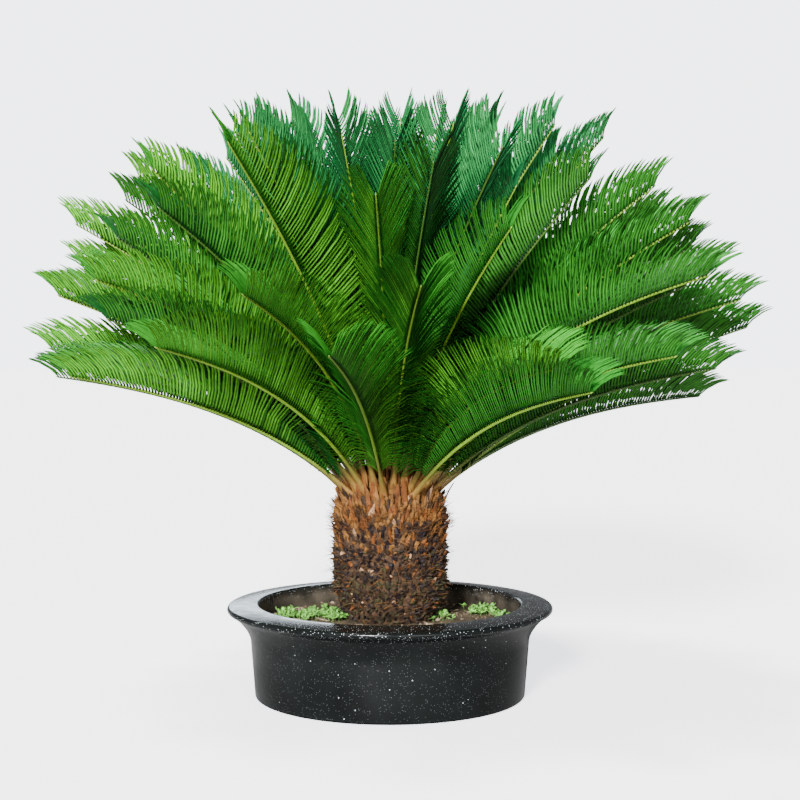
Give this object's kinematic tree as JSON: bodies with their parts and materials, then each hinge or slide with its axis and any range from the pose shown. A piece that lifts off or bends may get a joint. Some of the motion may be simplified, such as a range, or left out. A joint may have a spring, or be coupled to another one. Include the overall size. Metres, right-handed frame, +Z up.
{
  "type": "sago palm",
  "caption": "Potted sago palm: a stout barrel trunk with a fan-shaped crown of stiff feathery fronds, in a wide round pot with a flared rim.",
  "frame": {"origin": "centre of the pot's flat underside", "axes": "+Z up along the trunk, -Y towards the front of the plant, +X to the right of someone who looks at the front"},
  "size_m": [1.4868, 1.5222, 1.2451],
  "materials": {
    "fronds": "leathery green leaflets with a slight gloss",
    "trunk": "rough old leaf bases, rust-brown above and grey-brown below",
    "soil": "matt crumbly potting soil",
    "pot": "semi-gloss blue-black with fine pale speckles"
  },
  "bodies": {
    "root": {"frond_01": "fronds", "frond_02": "fronds", "frond_03": "fronds", "frond_04": "fronds", "frond_05": "fronds", "frond_06": "fronds", "frond_07": "fronds", "frond_08": "fronds", "frond_09": "fronds", "frond_10": "fronds", "frond_11": "fronds", "frond_12": "fronds", "frond_13": "fronds", "frond_14": "fronds", "frond_15": "fronds", "frond_16": "fronds", "frond_17": "fronds", "frond_18": "fronds", "frond_19": "fronds", "frond_20": "fronds", "frond_21": "fronds", "frond_22": "fronds", "frond_23": "fronds", "frond_24": "fronds", "frond_25": "fronds", "frond_26": "fronds", "frond_27": "fronds", "frond_28": "fronds", "frond_29": "fronds", "frond_30": "fronds", "frond_31": "fronds", "frond_32": "fronds", "frond_33": "fronds", "frond_34": "fronds", "frond_35": "fronds", "frond_36": "fronds", "frond_37": "fronds", "frond_38": "fronds", "frond_39": "fronds", "frond_40": "fronds", "frond_41": "fronds", "frond_42": "fronds", "frond_43": "fronds", "frond_44": "fronds", "frond_45": "fronds", "frond_46": "fronds", "frond_47": "fronds", "frond_48": "fronds", "frond_49": "fronds", "frond_50": "fronds", "frond_51": "fronds", "frond_52": "fronds", "frond_53": "fronds", "frond_54": "fronds", "frond_55": "fronds", "frond_56": "fronds", "frond_57": "fronds", "pot": "pot", "soil": "soil", "trunk": "trunk"}
  },
  "joints": []
}
